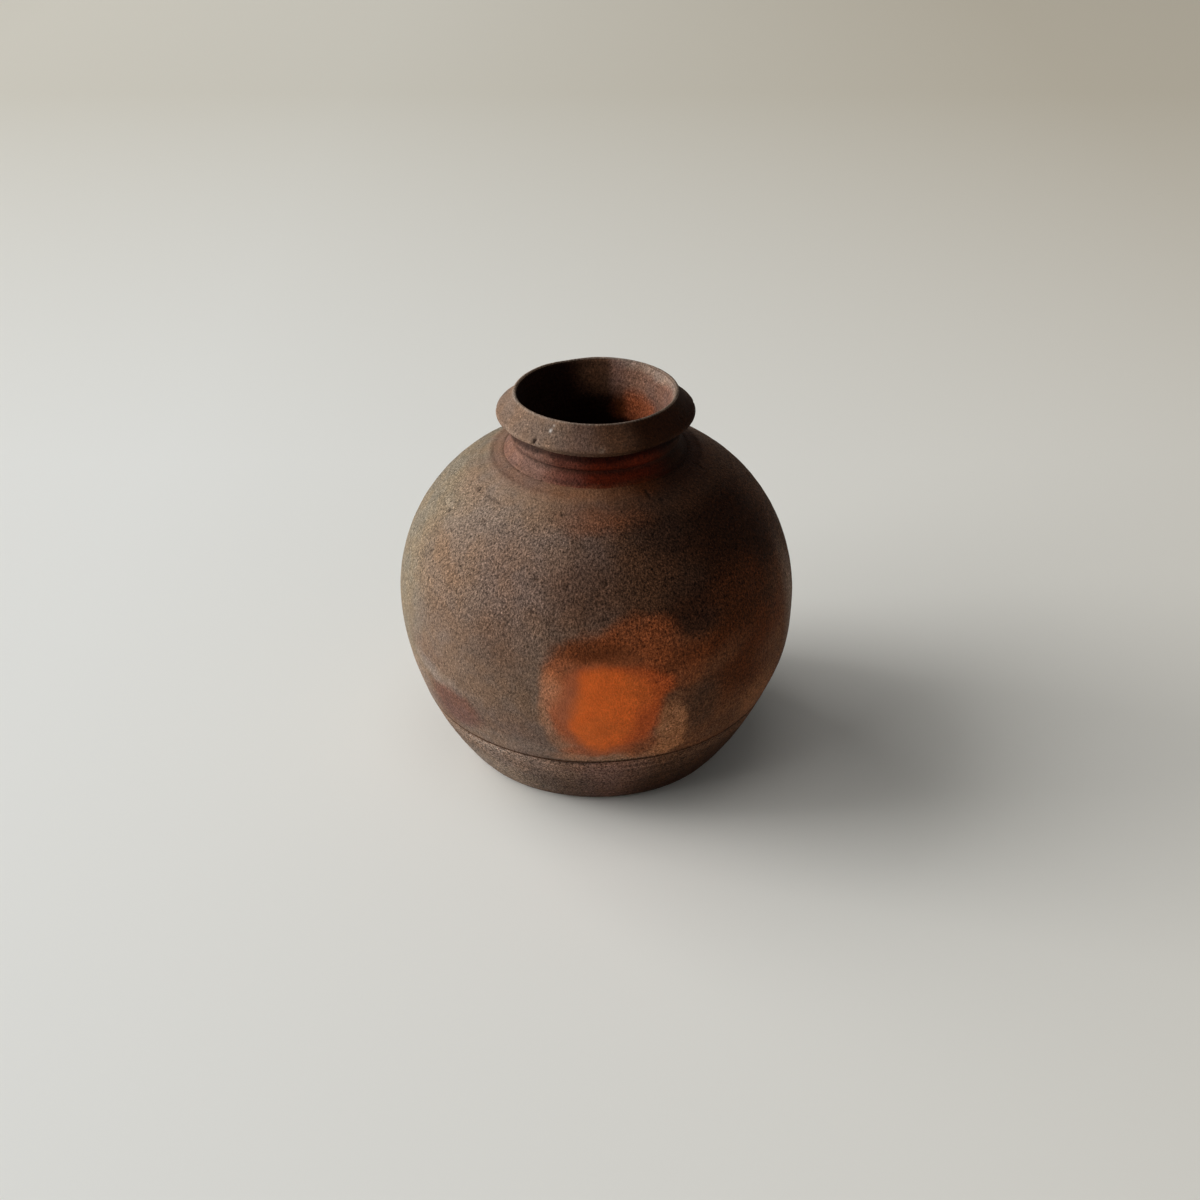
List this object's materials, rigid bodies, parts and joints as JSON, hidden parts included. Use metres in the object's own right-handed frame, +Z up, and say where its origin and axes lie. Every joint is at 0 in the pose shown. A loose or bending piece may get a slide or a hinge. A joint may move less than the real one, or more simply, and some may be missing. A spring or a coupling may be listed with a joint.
{
  "type": "round stoneware jar",
  "caption": "Small round unglazed stoneware jar with a short grooved neck, a flanged rim, a thin lip and a wide open mouth, flashed orange by the fire.",
  "frame": {"origin": "centre of the foot's flat face, on the table", "axes": "+Z up along the pot's turning axis, -Y towards the face with the orange fire mark, +X to the right seen from there"},
  "size_m": [0.096, 0.096, 0.0942],
  "materials": {
    "wood_fired_stoneware": "matte",
    "red_flashed_stoneware": "matte"
  },
  "bodies": {
    "root": {"foot": "wood_fired_stoneware", "body": "wood_fired_stoneware", "neck": "red_flashed_stoneware", "rim": "wood_fired_stoneware"}
  },
  "joints": []
}
